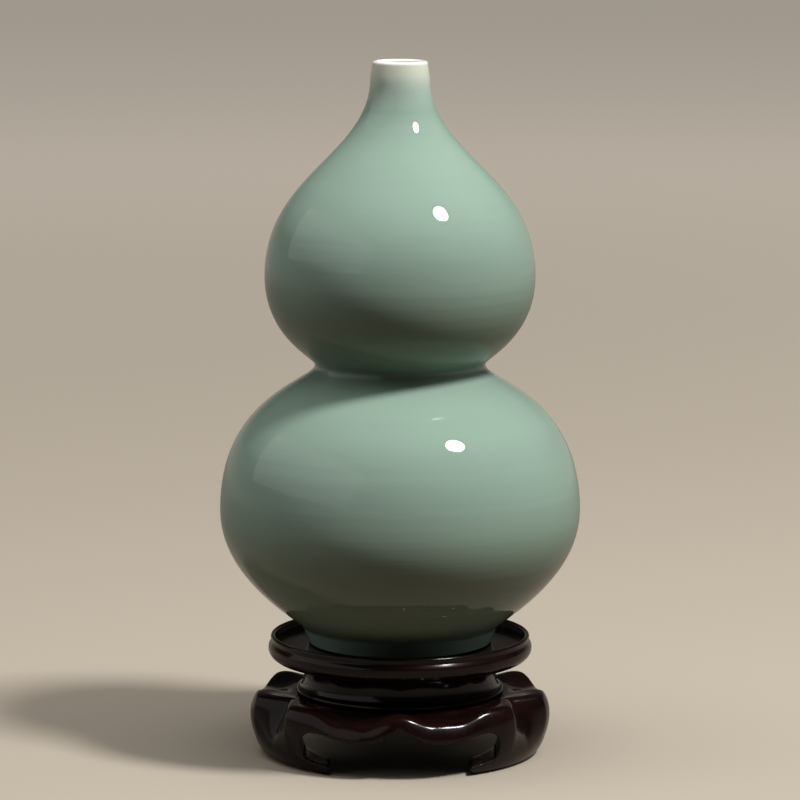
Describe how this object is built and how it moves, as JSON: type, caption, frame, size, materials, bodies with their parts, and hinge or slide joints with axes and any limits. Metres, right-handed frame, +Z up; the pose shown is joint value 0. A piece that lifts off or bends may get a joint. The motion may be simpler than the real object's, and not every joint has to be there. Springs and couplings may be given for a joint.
{
  "type": "celadon vase",
  "caption": "Celadon-glazed double-gourd flower vase with a narrow neck, standing loose in the round tray of a carved, waisted hardwood stand with curled feet.",
  "frame": {"origin": "on the ground under the axis of the vase and of the stand", "axes": "+Z up along the vase's axis, -Y towards the viewer of the picture, +X to the right in the picture"},
  "size_m": [0.153, 0.153, 0.2944],
  "materials": {
    "celadon_glaze": "glossy",
    "lacquered_wood": "glossy lacquer"
  },
  "bodies": {
    "stand": {"tray_ring": "lacquered_wood", "tray_panel": "lacquered_wood", "waist_block": "lacquered_wood", "apron_front": "lacquered_wood", "apron_right": "lacquered_wood", "apron_left": "lacquered_wood", "leg_front_right": "lacquered_wood", "leg_rear": "lacquered_wood", "leg_front_left": "lacquered_wood"},
    "vase": {"vase_body": "celadon_glaze"}
  },
  "joints": [
    {"name": "vase_lift", "type": "slide", "parent": "stand", "child": "vase", "axis": [0, 0, 1], "range_m": [0, 0.06]}
  ]
}
